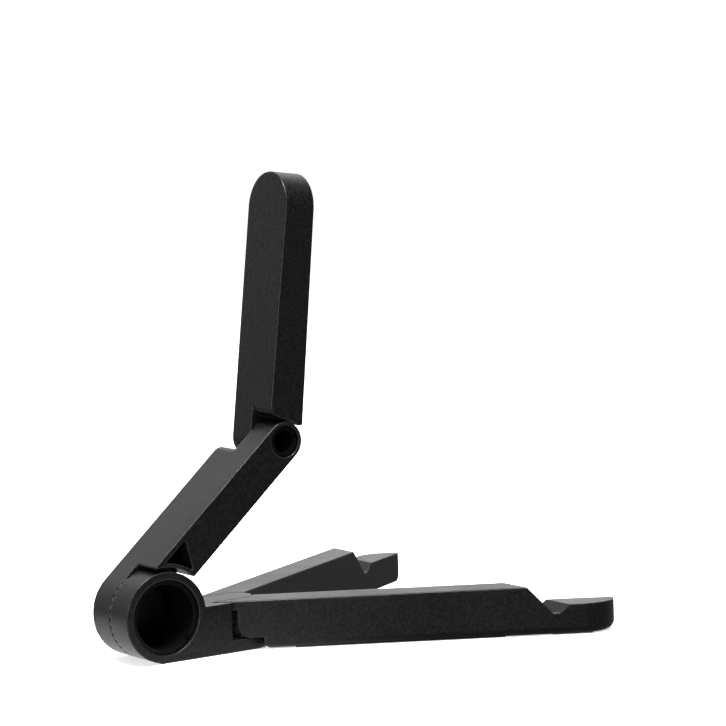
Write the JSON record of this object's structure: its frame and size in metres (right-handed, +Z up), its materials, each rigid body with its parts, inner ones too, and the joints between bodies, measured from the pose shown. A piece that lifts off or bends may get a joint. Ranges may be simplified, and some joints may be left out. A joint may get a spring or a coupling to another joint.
{
  "type": "tablet stand",
  "caption": "Folding tablet stand: a rear hub carries a two-part arm with a round tip, and hinged legs with notched toes hold the tablet's lower edge.",
  "frame": {"origin": "on the ground, on the axis of the upright screw that both legs turn on, at the base's foot pad", "axes": "+Z up, -Y from the hub towards the toes and the tablet, X across; left is -X, seen by a person facing the tablet"},
  "size_m": [0.1428, 0.1629, 0.1621],
  "materials": {
    "shell_plastic": "black moulded ABS, fine spark-eroded grain",
    "bush_plastic": "black moulded acetal",
    "washer_plastic": "natural nylon",
    "rubber": "black silicone rubber",
    "steel": "zinc plated"
  },
  "bodies": {
    "base": {"base_body": "shell_plastic", "base_foot_pad": "rubber", "leg_hinge_screw": "steel", "leg_washers": "washer_plastic", "leg_spring_washer": "steel", "hub_spring": "steel"},
    "lower_arm": {"lower_arm_shell": "shell_plastic", "lower_arm_cover": "shell_plastic", "hub_barrel": "bush_plastic"},
    "upper_arm": {"upper_arm_shell": "shell_plastic", "upper_arm_cover": "shell_plastic", "tip_pad": "rubber", "elbow_pin": "bush_plastic", "elbow_spring": "steel", "elbow_washer": "washer_plastic"},
    "left_leg": {"left_leg_shell": "shell_plastic", "left_leg_cover": "shell_plastic", "left_notch_pad": "rubber", "left_foot_pad": "rubber"},
    "right_leg": {"right_leg_shell": "shell_plastic", "right_leg_cover": "shell_plastic", "right_notch_pad": "rubber", "right_foot_pad": "rubber"}
  },
  "joints": [
    {"name": "hub_hinge", "type": "hinge", "parent": "base", "child": "lower_arm", "pos_m": [0, 0.034, 0.0156], "axis": [-1, 0, 0], "range_deg": [-41, 79]},
    {"name": "elbow_hinge", "type": "hinge", "parent": "lower_arm", "child": "upper_arm", "pos_m": [0, -0.0156, 0.07011], "axis": [-1, 0, 0], "range_deg": [-41.5, 58.5]},
    {"name": "left_leg_hinge", "type": "hinge", "parent": "base", "child": "left_leg", "pos_m": [0, 0, 0.009], "axis": [0, 0, 1], "range_deg": [0, 30]},
    {"name": "right_leg_hinge", "type": "hinge", "parent": "base", "child": "right_leg", "pos_m": [0, 0, 0.009], "axis": [0, 0, -1], "range_deg": [0, 30]}
  ]
}
